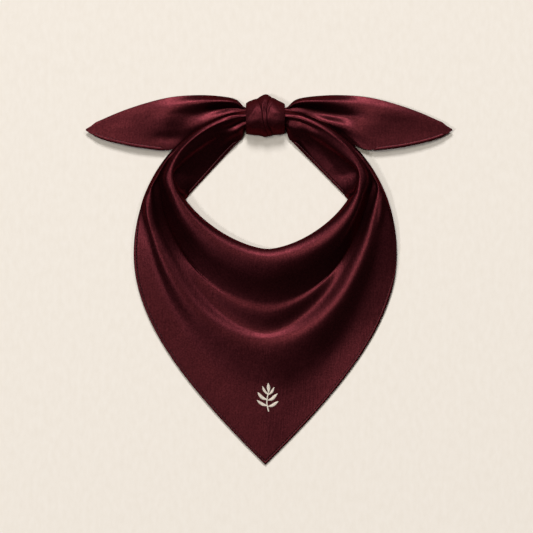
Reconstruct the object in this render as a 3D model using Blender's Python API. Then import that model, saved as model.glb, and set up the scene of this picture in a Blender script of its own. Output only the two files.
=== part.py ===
"""Satin neckerchief: a folded triangle of cloth, its two long corners tied in
a small knot, laid on a flat surface with the point towards the viewer.

The cloth is a set of closed walls. Every stretch of it is worked out from
fold lines: the neck edge, the rolled neckline, the ridges and troughs that
hang below it, and the outer rim. Sizes are millimetres here and become metres
where a mesh is made. +X is right, +Y runs from the point to the knot, and the
surface that the cloth lies on is Z = 0.
"""

import math

import bpy
import numpy as np

for old_object in list(bpy.data.objects):
    bpy.data.objects.remove(old_object, do_unlink=True)

MM = 0.001

# Cloth and sewing
WALL = 1.2
SEAM_GAP = 0.3
HEM_WIDTH = 3.0
HEM_THICK = 1.8
REST = WALL / 2
LOWEST_GAP = 0.05
SMOOTH_ANGLE = 50

# Section of a turned hem, as shares of its width and thickness
HEM_PROFILE = ((0.0, 0.3), (0.12, 0.0), (0.88, 0.0), (1.0, 0.3), (0.8, 1.0), (0.2, 1.0))

# How far into the cloth an edge that is drawn back for its hem takes the
# cloth with it, and the column that gives the way inwards from an edge.
PULL_REACH = 30.0
INWARD_COLUMN = 3

# Where the pieces stand
EYE_Y = 75.0
AXIS_KNOT = -3.0
AXIS_FRONT = -0.8
AXIS_BLEND = (30.0, 100.0)
TIP_Y = -149.0

# Rays that fan out from the middle of the neck opening, in degrees from the
# point of the scarf. The front panel ends at SPLIT, where the neck edge comes
# out from below the roll, and the two neck bands run on to the knot.
RAYS = (0, 40, 75, 98, 125, 158)
SPLIT = 82.0
SPLIT_GAP = 0.2
BAND_END = 152.0
LINE_SPACE = 2.0
EGG_POINTS = 120
RIM_POINTS = 90

# Fold lines from the neck edge outwards. Each one is an egg round the neck:
# its greatest half width and the row of that width, its lowest and highest
# row, and how square its lower and upper halves are.
FOLDS = {
    # half, wide_y, low_y, high_y, low_power, high_power
    "hem": (65.4, 63.5, 14.0, 131.7, 1.5, 1.0),
    "edge": (74.0, 84.0, 23.2, 128.0, 1.6, 1.2),
    "crest": (75.5, 82.0, 11.8, 132.0, 1.85, 1.7),
    "trough": (84.0, 82.0, -10.0, 133.0, 1.9, 1.6),
    "rib": (85.5, 78.0, -28.4, 133.4, 1.85, 1.65),
    "dip": (91.0, 76.0, -39.5, 133.6, 1.75, 1.7),
    "wave": (91.5, 70.0, -52.0, 134.0, 1.8, 1.75),
    "foot": (96.0, 60.0, -78.0, 134.5, 1.6, 1.8),
}

# The outer rim: its tip, widest point and knot end, and the handles that bend
# its two arcs, all as half width and row.
RIM_LOW = ((0.0, TIP_Y), (52.0, -97.0), (105.2, -40.0), (105.2, 19.6))
RIM_HIGH = ((105.2, 19.6), (105.2, 66.0), (78.0, 122.0), (15.7, 135.0))

# Lines that lie part of the way between two others
BETWEEN = {
    "tuck": ("hem", "edge", 0.5),
    "brow": ("edge", "crest", 0.36),
    "fall": ("crest", "trough", 0.45),
    "skirt": ("foot", "rim", 0.5),
}

# Height of the cloth's middle on each line, at each of RAYS
HEIGHTS = {
    "hem": (0.6, 0.6, 0.6, 0.6, 0.8, 2.6),
    "tuck": (0.9, 0.9, 1.4, 2.4, 3.4, 5.6),
    "edge": (5.0, 5.0, 5.6, 6.6, 6.8, 9.6),
    "brow": (9.6, 9.8, 10.6, 11.2, 10.6, 7.6),
    "crest": (12.6, 13.0, 13.8, 14.4, 15.0, 13.2),
    "fall": (9.2, 8.8, 9.6, 12.2, 14.0, 12.6),
    "trough": (2.6, 2.4, 4.4, 9.6, 12.2, 11.4),
    "rib": (5.0, 4.8, 5.2, 8.6, 11.4, 10.9),
    "dip": (2.5, 2.3, 7.0, 8.6, 10.8, 10.6),
    "wave": (8.0, 8.6, 8.8, 8.4, 9.8, 10.2),
    "foot": (1.5, 1.8, 5.2, 6.4, 8.0, 8.6),
    "skirt": (0.6, 0.6, 1.8, 4.6, 6.4, 7.8),
    "rim": (0.6, 0.6, 0.6, 2.6, 5.0, 7.0),
}

FRONT_LINES = ("hem", "tuck", "edge", "brow", "crest", "fall", "trough", "rib",
               "dip", "wave", "foot", "skirt", "rim")
FRONT_STEPS = (1, 2, 1, 2, 2, 2, 2, 2, 3, 3, 2, 3)
FRONT_SECTIONS = 43
BAND_LINES = ("hem", "tuck", "edge", "brow", "crest", "trough", "wave", "rim")
BAND_STEPS = (2, 2, 2, 2, 2, 2, 2)
BAND_SECTIONS = 13

# Where the bands and tails enter the knot: distance from the knot's axis, and
# the row and height of each line of the gathered band there.
ROOT_HALF = 12.8
MOUTH_HALF = 16.6
ROOT_SECTIONS = 4
CORE_GAP = 0.9
ROOT = {
    "hem": (118.9, 4.0),
    "tuck": (120.6, 7.2),
    "edge": (122.8, 9.4),
    "brow": (125.4, 8.0),
    "crest": (128.4, 11.6),
    "trough": (130.6, 10.4),
    "wave": (132.0, 9.6),
    "rim": (133.4, 8.2),
}

# The front hem shows from the tip up to these rays, and thins out before them
HEM_FIRST_RAY = 0.35
HEM_LAST_RAY = {"left": 82.0, "right": 62.0}
HEM_FADE = 14.0
HEM_STOP = 0.45
HEM_SECTIONS = 30

# Tail, a row for each section from the knot to the tip: distance from the
# middle, rows of its lower and upper edge, then the height of the lower edge,
# the back ridge, the pocket, the upper ridge and the upper edge.
TAIL_COLUMNS = ("half", "low_y", "high_y", "z_low", "z_back", "z_pocket", "z_ridge", "z_high")
TAIL_SECTIONS = (
    (12.8, 133.8, 136.8, 3.6, 3.6, 3.6, 3.6, 3.6),
    (17.4, 133.4, 136.8, 3.4, 3.4, 3.4, 3.4, 3.4),
    (24.0, 129.6, 142.6, 2.0, 2.8, 2.6, 6.2, 2.0),
    (36.0, 124.6, 145.2, 1.0, 2.6, 1.6, 6.8, 1.0),
    (56.0, 113.0, 146.4, 0.7, 2.9, 1.4, 6.0, 0.7),
    (78.0, 102.8, 144.9, 0.9, 4.0, 2.8, 4.6, 0.6),
    (98.4, 103.6, 140.1, 3.0, 4.2, 3.2, 3.2, 0.6),
    (119.4, 107.4, 133.0, 3.0, 3.2, 2.4, 2.0, 0.6),
    (136.0, 112.2, 126.0, 1.6, 1.8, 1.6, 1.2, 0.6),
    (146.4, 118.2, 119.4, 0.6, 0.6, 0.6, 0.6, 0.6),
)
TAIL_SHARES = (0.0, 0.28, 0.56, 0.82, 1.0)
TAIL_STEPS = (3, 3, 3, 2)
TAIL_ALONG = (1, 2, 2, 3, 3, 3, 3, 2, 2)
TAIL_AXIS_END = 60.0
TAIL_HEM_SPAN = (82.0, 142.0)
TAIL_HEM_FADE = 4.0
TAIL_HEM_LEAST = 1.0

# Knot, a row for each section across it
KNOT_SECTIONS = (
    # x, low_y, high_y, height
    (-18.4, 115.4, 140.2, 16.0),
    (-12.5, 114.6, 142.6, 18.8),
    (-7.0, 114.2, 145.2, 19.0),
    (-2.6, 112.6, 147.3, 19.8),
    (2.0, 114.2, 145.0, 18.8),
    (7.2, 114.8, 142.4, 18.4),
    (12.6, 115.4, 139.9, 16.0),
)
KNOT_POWER = 2.5
KNOT_WALL = 1.6
KNOT_TUCK = 0.8
KNOT_FOOT = 0.3
KNOT_ARC_STEPS = 16
KNOT_ACROSS = 6
CORE_INSET = KNOT_WALL + KNOT_TUCK + SEAM_GAP + 0.1
CORE_RINGS = 8

# The slanting strip over the knot: its left and right side from the upper
# foot of the knot, over its top, to the lower foot.
STRIP_LEFT = (-9.6, -8.6, -5.6, -1.6, -0.8)
STRIP_RIGHT = (2.4, 0.4, -1.4, 2.0, 3.2)

CLOTH = {
    "color": (0.115, 0.016, 0.022, 1.0),
    "roughness": 0.42,
    "metallic": 0.0,
}
TRIM = {
    "color": (0.095, 0.013, 0.018, 1.0),
    "roughness": 0.5,
    "metallic": 0.0,
}


def spline(knots, values, at):
    """Read a smooth curve through values, one for each knot."""
    knots = np.asarray(knots, dtype=float)
    values = np.asarray(values, dtype=float)
    at = np.clip(np.asarray(at, dtype=float), knots[0], knots[-1])
    span = np.diff(knots)
    shape = (-1,) + (1,) * (values.ndim - 1)
    rise = np.diff(values, axis=0) / span.reshape(shape)
    slope = np.concatenate([rise[:1], (rise[:-1] + rise[1:]) / 2, rise[-1:]])
    index = np.clip(np.searchsorted(knots, at, side="right") - 1, 0, len(span) - 1)
    width = span[index]
    part = (at - knots[index]) / width
    part = part.reshape(shape)
    width = width.reshape(shape)
    start = values[index] * (1 + 2 * part) * (1 - part) ** 2
    start = start + slope[index] * width * part * (1 - part) ** 2
    end = values[index + 1] * part ** 2 * (3 - 2 * part)
    return start + end + slope[index + 1] * width * part ** 2 * (part - 1)


def bezier(points, count):
    """Points along one cubic arc."""
    part = np.linspace(0.0, 1.0, count).reshape(-1, 1)
    first, second, third, fourth = (np.array(point) for point in points)
    return (first * (1 - part) ** 3 + 3 * second * part * (1 - part) ** 2
            + 3 * third * part ** 2 * (1 - part) + fourth * part ** 3)


def egg(half, wide_y, low_y, high_y, low_power, high_power):
    """Half an egg round the neck, from its lowest point to its highest."""
    turn = np.linspace(0.0, math.pi / 2, EGG_POINTS)
    low_x = half * np.sin(turn) ** (2 / low_power)
    low = wide_y - (wide_y - low_y) * np.cos(turn) ** (2 / low_power)
    high_x = half * np.cos(turn) ** (2 / high_power)
    high = wide_y + (high_y - wide_y) * np.sin(turn) ** (2 / high_power)
    x = np.concatenate([low_x, high_x[1:]])
    y = np.concatenate([low, high[1:]])
    return np.stack([x, y], axis=1)


def ray_radius(points, rays):
    """Distance from the eye of the neck to a line, along each ray."""
    ray = np.degrees(np.arctan2(points[:, 0], EYE_Y - points[:, 1]))
    radius = np.hypot(points[:, 0], EYE_Y - points[:, 1])
    order = np.argsort(ray)
    return np.interp(rays, ray[order], radius[order])


def line_radii(rays, lines):
    """Radius of the fold lines along each ray, kept apart and in order."""
    radii = {name: ray_radius(egg(*row), rays) for name, row in FOLDS.items()}
    rim = np.concatenate([bezier(RIM_LOW, RIM_POINTS), bezier(RIM_HIGH, RIM_POINTS)[1:]])
    radii["rim"] = ray_radius(rim, rays)
    for name, (inner, outer, share) in BETWEEN.items():
        radii[name] = radii[inner] + share * (radii[outer] - radii[inner])
    above_edge = lines[lines.index("edge"):]
    for name, outer in reversed(list(zip(above_edge, above_edge[1:]))):
        radii[name] = np.minimum(radii[name], radii[outer] - LINE_SPACE)
    return radii


def line_heights(rays):
    """Height of every fold line along each ray."""
    mirrored = [-ray for ray in reversed(RAYS[1:])] + list(RAYS)
    heights = {}
    for name, row in HEIGHTS.items():
        full = list(reversed(row[1:])) + list(row)
        heights[name] = spline(mirrored, full, rays)
    return heights


def axis_at(y):
    """The scarf's middle line, which leans a little towards the knot."""
    low, high = AXIS_BLEND
    share = np.clip((y - low) / (high - low), 0.0, 1.0)
    return AXIS_FRONT + (AXIS_KNOT - AXIS_FRONT) * share


def across(values, steps):
    """Read the lines of a section at each step between them."""
    knots = np.arange(len(steps) + 1)
    at = np.concatenate([np.arange(count) / count + start
                         for start, count in enumerate(steps)])
    return spline(knots, values, np.append(at, knots[-1]))


def fold_grid(rays, lines, steps, side):
    """The middle of the cloth along each ray: place across, row and height."""
    radii = line_radii(np.abs(rays), lines)
    heights = line_heights(rays)
    radius = across(np.array([radii[name] for name in lines]), steps).T
    height = across(np.array([heights[name] for name in lines]), steps).T
    turn = np.radians(rays).reshape(-1, 1)
    half = radius * np.sin(turn) * side
    y = EYE_Y - radius * np.cos(turn)
    rim_share = np.linspace(0.0, 1.0, half.shape[1]) ** 2
    axis = axis_at(y) * (1 - rim_share) + AXIS_KNOT * rim_share
    return np.stack([half + axis, y, height], axis=2)


def hem_width(rays, side_name):
    """Width of the front hem along each ray, thinning out at its end."""
    left = np.clip((HEM_LAST_RAY[side_name] - rays) / HEM_FADE, 0.0, 1.0)
    return HEM_WIDTH * left * left * (3 - 2 * left)


def way_inwards(grid):
    """Level unit vectors from the first column of a grid into the cloth."""
    inward = grid[:, INWARD_COLUMN] - grid[:, 0]
    inward[:, 2] = 0.0
    return inward / np.linalg.norm(inward, axis=1, keepdims=True)


def pull_in(grid, amount):
    """Move the first column of a grid inwards, and the cloth near it less."""
    lengths = np.linalg.norm(np.diff(grid, axis=1), axis=2)
    away = np.concatenate([np.zeros((len(grid), 1)), np.cumsum(lengths, axis=1)], axis=1)
    share = np.clip(1 - away / PULL_REACH, 0.0, 1.0) ** 2
    return grid + way_inwards(grid)[:, None] * (share * amount.reshape(-1, 1))[:, :, None]


def grid_normals(grid):
    """Normals of a grid of points, upwards on its plain side."""
    along = np.gradient(grid, axis=0)
    over = np.gradient(grid, axis=1)
    normal = np.cross(over, along)
    return normal / np.linalg.norm(normal, axis=2, keepdims=True)


def make_object(name, verts, faces, look):
    """A mesh object with its own material, smooth but for its sharp edges."""
    mesh = bpy.data.meshes.new(name)
    mesh.from_pydata([tuple(point) for point in np.asarray(verts) * MM], [], faces)
    mesh.validate()
    material = bpy.data.materials.new(name)
    material.use_nodes = True
    shader = material.node_tree.nodes["Principled BSDF"]
    shader.inputs["Base Color"].default_value = look["color"]
    shader.inputs["Roughness"].default_value = look["roughness"]
    shader.inputs["Metallic"].default_value = look["metallic"]
    mesh.materials.append(material)
    mesh.shade_smooth()
    mesh.set_sharp_from_angle(angle=math.radians(SMOOTH_ANGLE))
    made = bpy.data.objects.new(name, mesh)
    bpy.context.scene.collection.objects.link(made)
    return made


def skin_faces(rows, columns):
    """Faces of a closed wall: one side, the other side and the four edges."""
    top = np.arange(rows * columns).reshape(rows, columns)
    under = top + rows * columns
    faces = []
    for i in range(rows - 1):
        for j in range(columns - 1):
            faces.append((top[i, j], top[i, j + 1], top[i + 1, j + 1], top[i + 1, j]))
            faces.append((under[i, j], under[i + 1, j], under[i + 1, j + 1], under[i, j + 1]))
    for i in range(rows - 1):
        faces.append((top[i, 0], top[i + 1, 0], under[i + 1, 0], under[i, 0]))
        faces.append((top[i + 1, -1], top[i, -1], under[i, -1], under[i + 1, -1]))
    for j in range(columns - 1):
        faces.append((top[0, j + 1], top[0, j], under[0, j], under[0, j + 1]))
        faces.append((top[-1, j], top[-1, j + 1], under[-1, j + 1], under[-1, j]))
    return [tuple(int(index) for index in face) for face in faces]


def signed_volume(verts, faces):
    """Volume of a closed mesh, below zero where its faces point inwards."""
    verts = np.asarray(verts)
    total = 0.0
    for face in faces:
        for second, third in zip(face[1:-1], face[2:]):
            total += np.dot(verts[face[0]], np.cross(verts[second], verts[third]))
    return total / 6


def two_sided(name, outer, inner, look):
    """A closed wall between two grids of points."""
    rows, columns = outer.shape[:2]
    verts = np.concatenate([outer.reshape(-1, 3), inner.reshape(-1, 3)])
    faces = skin_faces(rows, columns)
    if signed_volume(verts, faces) < 0:
        faces = [tuple(reversed(face)) for face in faces]
    return make_object(name, verts, faces, look)


def ringed(name, rings, look):
    """A closed solid through rings of points, flat at both ends."""
    count, sides = rings.shape[:2]
    index = np.arange(count * sides).reshape(count, sides)
    faces = []
    for i in range(count - 1):
        for j in range(sides):
            k = (j + 1) % sides
            faces.append((index[i, j], index[i, k], index[i + 1, k], index[i + 1, j]))
    faces.append(tuple(index[0, ::-1]))
    faces.append(tuple(index[-1]))
    faces = [tuple(int(corner) for corner in face) for face in faces]
    verts = rings.reshape(-1, 3)
    if signed_volume(verts, faces) < 0:
        faces = [tuple(reversed(face)) for face in faces]
    return make_object(name, verts, faces, look)


def cloth_wall(name, grid):
    """A wall of cloth round its middle surface, flat where it meets Z = 0."""
    offset = grid_normals(grid) * (WALL / 2)
    outer = grid + offset
    inner = grid - offset
    for side in (outer, inner):
        height = side[:, :, 2]
        height[height < LOWEST_GAP] = 0.0
    return two_sided(name, outer, inner, CLOTH)


def hem_strip(name, grid, width):
    """A turned hem: a rounded bar inside the first column of a grid."""
    edge = grid[:, 0]
    inward = way_inwards(grid)
    rings = []
    for share, rise in HEM_PROFILE:
        ring = edge + inward * (share * width).reshape(-1, 1)
        ring[:, 2] = edge[:, 2] - REST + rise * HEM_THICK
        rings.append(ring)
    return ringed(name, np.stack(rings, axis=1), TRIM)


def front_drape():
    """The front: roll, hanging folds and the flat point."""
    last = SPLIT - SPLIT_GAP
    rays = np.linspace(-last, last, FRONT_SECTIONS)
    grid = fold_grid(rays, FRONT_LINES, FRONT_STEPS, 1.0)
    taken = np.where(rays < 0, hem_width(-rays, "left"), hem_width(rays, "right"))
    cut = np.where(taken > 0, taken + SEAM_GAP, 0.0)
    return cloth_wall("front_drape", pull_in(grid[:, ::-1], cut)[:, ::-1])


def front_hem(side_name, side):
    """The narrow hem of one lower front edge, from the tip upwards."""
    last = HEM_LAST_RAY[side_name] - HEM_FADE * HEM_STOP
    rays = np.linspace(HEM_FIRST_RAY, last, HEM_SECTIONS)
    grid = fold_grid(rays, FRONT_LINES, FRONT_STEPS, side)
    return hem_strip(f"hem_front_{side_name}", grid[:, ::-1], hem_width(rays, side_name))


def band_grid(side):
    """One neck band from the split to the knot, gathered at its end."""
    rays = np.linspace(SPLIT + SPLIT_GAP, BAND_END, BAND_SECTIONS)
    free = fold_grid(rays, BAND_LINES, BAND_STEPS, side)
    root = across(np.array([ROOT[name] for name in BAND_LINES]), BAND_STEPS)
    ends = []
    for half in (MOUTH_HALF, ROOT_HALF):
        place = np.full((len(root), 1), AXIS_KNOT + side * half)
        ends.append(np.concatenate([place, root], axis=1))
    knots = np.array([-1.0, 0.0, 1.0, 2.0])
    both = np.stack([free[-2], free[-1], *ends])
    at = np.linspace(0.0, 2.0, ROOT_SECTIONS + 1)[1:]
    return np.concatenate([free, spline(knots, both, at)])


def neck_band(side_name, side):
    """A neck band with its inner edge drawn back for the hem."""
    grid = band_grid(side)
    cut = np.full(len(grid), HEM_WIDTH + SEAM_GAP)
    cut[-ROOT_SECTIONS:] = 0.0
    return cloth_wall(f"neck_{side_name}", pull_in(grid, cut))


def neck_hem(side_name, side):
    """The hem on the inner edge of a neck band."""
    grid = band_grid(side)[:BAND_SECTIONS]
    return hem_strip(f"hem_neck_{side_name}", grid, np.full(len(grid), HEM_WIDTH))


def tail_grid(side):
    """One tail, from its root in the knot to its tip."""
    rows = across(TAIL_SECTIONS, TAIL_ALONG)
    count = len(rows)
    column = {name: rows[:, place] for place, name in enumerate(TAIL_COLUMNS)}
    heights = np.stack([column["z_low"], column["z_back"], column["z_pocket"],
                        column["z_ridge"], column["z_high"]])
    shares = np.repeat(np.array(TAIL_SHARES).reshape(-1, 1), count, axis=1)
    height = across(heights, TAIL_STEPS).T
    share = across(shares, TAIL_STEPS).T
    low = column["low_y"].reshape(-1, 1)
    high = column["high_y"].reshape(-1, 1)
    half = np.repeat(column["half"].reshape(-1, 1), share.shape[1], axis=1)
    axis = AXIS_KNOT * np.clip(1 - (half - ROOT_HALF) / (TAIL_AXIS_END - ROOT_HALF), 0, 1)
    return np.stack([side * half + axis, low + share * (high - low), height], axis=2)


def tail_hem_width(grid, side):
    """Width of the hem on a tail's lower edge at each of its sections."""
    half = side * grid[:, 0, 0]
    first, last = TAIL_HEM_SPAN
    room = np.minimum(half - first, last - half)
    return HEM_WIDTH * np.clip(room / TAIL_HEM_FADE, 0.0, 1.0)


def tail(side_name, side):
    """A tail, with its lower edge drawn back where the hem runs."""
    grid = tail_grid(side)
    width = tail_hem_width(grid, side)
    cut = np.where(width > 0, width + SEAM_GAP, 0.0)
    return cloth_wall(f"tail_{side_name}", pull_in(grid, cut))


def tail_hem(side_name, side):
    """The hem along the lower edge of a tail."""
    grid = tail_grid(side)
    width = tail_hem_width(grid, side)
    shown = width > TAIL_HEM_LEAST
    return hem_strip(f"hem_tail_{side_name}", grid[shown], width[shown])


def knot_section(x):
    """Lower row, upper row and height of the knot at a place across it."""
    table = np.array(KNOT_SECTIONS)
    rows = spline(table[:, 0], table[:, 1:], np.atleast_1d(x))
    return rows[:, 0], rows[:, 1], rows[:, 2]


def knot_arch(x, turn, inset):
    """A point of the knot's arch, a little way below its outer surface."""
    low, high, height = knot_section(x)
    half = (high - low) / 2 - inset
    cosine = np.cos(turn)
    y = (low + high) / 2 + half * np.sign(cosine) * np.abs(cosine) ** (2 / KNOT_POWER)
    rise = height - KNOT_FOOT - inset
    z = KNOT_FOOT + rise * np.abs(np.sin(turn)) ** (2 / KNOT_POWER)
    return np.stack([x, y, z], axis=1)


def knot_wrap(name, left_side, right_side):
    """A stretch of cloth over the knot between two sides."""
    turns = np.linspace(0.0, math.pi, KNOT_ARC_STEPS + 1)
    place = turns / math.pi * (len(left_side) - 1)
    left = spline(range(len(left_side)), left_side, place)
    right = spline(range(len(right_side)), right_side, place)
    outer = []
    inner = []
    for step in range(KNOT_ACROSS + 1):
        share = step / KNOT_ACROSS
        x = left + share * (right - left)
        dip = KNOT_TUCK * abs(2 * share - 1) ** 3
        outer.append(knot_arch(x, turns, dip))
        inner.append(knot_arch(x, turns, KNOT_TUCK + KNOT_WALL))
    return two_sided(name, np.stack(outer), np.stack(inner), CLOTH)


def knot_core():
    """The hidden turns inside the knot, one rounded solid with a flat foot."""
    first = AXIS_KNOT - ROOT_HALF + CORE_GAP
    last = AXIS_KNOT + ROOT_HALF - CORE_GAP
    turns = np.linspace(0.0, math.pi, KNOT_ARC_STEPS + 1)
    rings = []
    for x in np.linspace(first, last, CORE_RINGS):
        ring = knot_arch(np.full(len(turns), x), turns, CORE_INSET)
        ring[0, 2] = 0.0
        ring[-1, 2] = 0.0
        rings.append(ring)
    return ringed("knot_core", np.stack(rings), CLOTH)


def build():
    """Make every piece of the scarf."""
    front_drape()
    for side_name, side in (("left", -1.0), ("right", 1.0)):
        front_hem(side_name, side)
        neck_band(side_name, side)
        neck_hem(side_name, side)
        tail(side_name, side)
        tail_hem(side_name, side)
    knot_core()
    strip_left = np.array(STRIP_LEFT)
    strip_right = np.array(STRIP_RIGHT)
    knot_left = np.full(len(strip_left), KNOT_SECTIONS[0][0])
    knot_right = np.full(len(strip_right), KNOT_SECTIONS[-1][0])
    knot_wrap("knot_wrap_left", knot_left, strip_left - SEAM_GAP)
    knot_wrap("knot_cross", strip_left, strip_right)
    knot_wrap("knot_wrap_right", strip_right + SEAM_GAP, knot_right)


build()
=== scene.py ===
import math

import bmesh
import bpy
import numpy as np
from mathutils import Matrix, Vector


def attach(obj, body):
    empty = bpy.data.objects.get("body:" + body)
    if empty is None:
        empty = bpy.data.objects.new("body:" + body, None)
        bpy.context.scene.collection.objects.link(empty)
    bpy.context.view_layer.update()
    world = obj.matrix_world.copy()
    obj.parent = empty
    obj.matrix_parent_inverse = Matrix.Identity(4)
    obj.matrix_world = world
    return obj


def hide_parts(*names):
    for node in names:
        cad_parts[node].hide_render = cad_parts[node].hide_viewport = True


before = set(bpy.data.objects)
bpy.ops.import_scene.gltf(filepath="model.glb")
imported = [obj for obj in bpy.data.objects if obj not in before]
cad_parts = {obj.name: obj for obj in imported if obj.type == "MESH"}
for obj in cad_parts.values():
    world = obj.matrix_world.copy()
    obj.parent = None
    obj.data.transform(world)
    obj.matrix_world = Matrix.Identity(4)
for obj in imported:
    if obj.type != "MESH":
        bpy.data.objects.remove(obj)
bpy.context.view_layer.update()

# Sizes are millimetres up to the moment a mesh is made. +X is right, +Y runs
# from the point to the knot, and the floor is Z = 0.
MM = 0.001

# Which way each side lies along X
SIDES = {"left": -1.0, "right": 1.0}

# Cloth that comes closer to the floor than the lowest gap lies on it
CLOTH_THICK = 1.0
LOWEST_GAP = 0.05

# The rays fan out from the middle of the neck opening. The tip is the point.
EYE_Y = 75.0
TIP_Y = -149.0

# Where the scarf's middle line is by the knot and at the front, and the rows
# between which it bends over
AXIS_KNOT = -3.0
AXIS_FRONT = -0.8
AXIS_BLEND = (30.0, 100.0)

# Rays are in degrees from the point. A band runs from one ray to another.
RAYS = (0, 25, 50, 75, 98, 125, 158)
BAND_START = 82.0
BAND_END = 152.0

# The least space between two fold lines, and the rays over which the outer
# folds are gathered to a share of the way from the crest to the rim
LINE_SPACE = 0.7
GATHER = (84.0, 98.0)
GATHER_SHARES = {"fall": 0.36, "trough": 0.62, "rib": 0.69, "dip": 0.76, "wave": 0.83,
                 "foot": 0.89, "skirt": 0.95}

# Fold lines from the neck edge outwards. Each one is an egg round the neck:
# its greatest half width and the row of that width, its lowest and highest
# row, and how square its lower and upper halves are.
FOLDS = {
    # half, wide_y, low_y, high_y, low_power, high_power
    "hem": (65.4, 63.5, 14.0, 131.7, 1.5, 1.0),
    "edge": (74.0, 84.0, 23.2, 128.0, 1.6, 1.2),
    "crest": (75.0, 82.0, 13.4, 132.0, 1.85, 1.7),
    "trough": (84.0, 82.0, -17.0, 133.0, 1.9, 1.6),
    "rib": (85.0, 78.0, -28.5, 133.4, 1.7, 1.65),
    "dip": (89.0, 75.0, -42.0, 133.6, 1.65, 1.7),
    "wave": (91.0, 70.0, -52.5, 134.0, 1.84, 1.75),
    "foot": (95.5, 60.0, -84.0, 134.5, 1.75, 1.8),
}
EGG_POINTS = 400

# The outer rim, two arcs that meet at its widest point
RIM_LOW = ((0.0, TIP_Y), (52.0, -97.0), (105.2, -40.0), (105.2, 19.6))
RIM_HIGH = ((105.2, 19.6), (105.2, 66.0), (78.0, 122.0), (15.7, 135.0))
RIM_POINTS = 300

# Lines between two others, at a share of the way from the inner to the outer
BETWEEN = {
    "tuck": ("hem", "edge", 0.5),
    "brow": ("edge", "crest", 0.36),
    "fall": ("crest", "trough", 0.45),
    "skirt": ("foot", "rim", 0.5),
}
LINES = ("hem", "tuck", "edge", "brow", "crest", "fall", "trough", "rib",
         "dip", "wave", "foot", "skirt", "rim")

# Height of the cloth's middle at each line, a column for each ray
HEIGHTS = {
    "hem": (0.6, 0.6, 0.6, 0.6, 0.6, 0.8, 2.6),
    "tuck": (0.9, 0.9, 0.9, 1.4, 3.2, 4.2, 5.6),
    "edge": (8.0, 8.0, 8.0, 7.8, 9.6, 8.4, 9.6),
    "brow": (11.8, 11.8, 12.2, 13.0, 12.6, 10.9, 8.8),
    "crest": (13.4, 13.5, 13.8, 14.2, 14.6, 15.0, 13.2),
    "fall": (10.4, 10.2, 10.6, 12.0, 13.4, 14.5, 12.6),
    "trough": (3.3, 2.2, 1.0, 1.0, 9.2, 13.4, 11.8),
    "rib": (4.6, 4.1, 2.4, 1.8, 9.8, 12.8, 11.0),
    "dip": (0.9, 1.4, 5.6, 6.8, 10.2, 12.2, 10.2),
    "wave": (4.8, 7.2, 9.2, 9.8, 10.6, 11.4, 9.4),
    "foot": (0.8, 1.3, 4.2, 8.0, 9.3, 10.0, 8.6),
    "skirt": (0.6, 0.7, 2.6, 6.6, 8.4, 8.8, 7.8),
    "rim": (1.0, 1.3, 2.0, 5.0, 7.2, 7.6, 7.0),
}

# How far each line leans, to the right above zero on both sides of the neck,
# and the rays over which that ends
LEAN = {"brow": 0.8, "crest": 1.4, "trough": -2.0, "rib": -2.8, "dip": -3.8, "wave": -3.8,
        "foot": -2.0}
LEAN_END = (68.0, 96.0)

# The gathered ends of the bands in the knot, and how far from the middle the
# bands end and the knot's mouths are
ROOT = {
    # row, height
    "hem": (118.9, 4.0),
    "tuck": (120.6, 7.2),
    "edge": (122.8, 9.4),
    "brow": (125.4, 8.0),
    "crest": (128.4, 11.6),
    "fall": (129.6, 11.0),
    "trough": (130.6, 10.4),
    "rib": (131.1, 10.1),
    "dip": (131.5, 9.9),
    "wave": (132.0, 9.6),
    "foot": (132.5, 9.1),
    "skirt": (133.0, 8.6),
    "rim": (133.4, 8.2),
}
ROOT_HALF = 12.8
MOUTH_HALF = 16.6

# How finely the drape is cut between its lines, along them and in its gathered
# ends, and how many sections before an end give the way into it
DRAPE_STEPS = (6, 7, 7, 7, 9, 10, 12, 10, 12, 16, 14, 16)
DRAPE_SECTIONS = 341
ROOT_SECTIONS = 9
ROOT_LEAD = 10

# How often the heights of the drape and of the tails are evened out, along the
# cloth and over it
DRAPE_SOFT = (14, 34)
TAIL_SOFT = (60, 6)

# Tails, a row for each section from the root in the knot to the tip
TAIL_COLUMNS = ("half", "low_y", "high_y", "z_low", "z_back", "z_pocket", "z_ridge", "z_high")
TAIL_SECTIONS = (
    (12.8, 133.8, 136.8, 3.6, 3.6, 3.6, 3.6, 3.6),
    (17.4, 133.4, 136.8, 3.4, 3.4, 3.4, 3.4, 3.4),
    (24.0, 129.6, 142.6, 2.0, 2.8, 2.6, 6.2, 2.0),
    (36.0, 124.6, 145.2, 1.0, 2.6, 1.6, 6.8, 1.0),
    (56.0, 113.0, 146.4, 0.7, 3.2, 1.8, 4.8, 0.7),
    (78.0, 102.8, 144.9, 3.8, 4.4, 5.0, 4.6, 2.6),
    (98.4, 103.6, 140.1, 4.8, 4.8, 5.0, 5.0, 4.0),
    (119.4, 107.4, 133.0, 4.8, 4.6, 4.6, 4.6, 4.2),
    (136.0, 112.2, 125.2, 4.3, 4.2, 4.2, 4.2, 4.0),
    (146.4, 118.2, 119.4, 3.8, 3.8, 3.8, 3.8, 3.8),
)

# Places over a tail's width that have a height, how finely a tail is cut over
# and along, and how far out it bends away from the middle line by the knot
TAIL_SHARES = (0.0, 0.28, 0.56, 0.82, 1.0)
TAIL_STEPS = (26, 26, 26, 22)
TAIL_ALONG = (6, 12, 18, 26, 28, 28, 28, 24, 16)
TAIL_AXIS_END = 60.0

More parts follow.
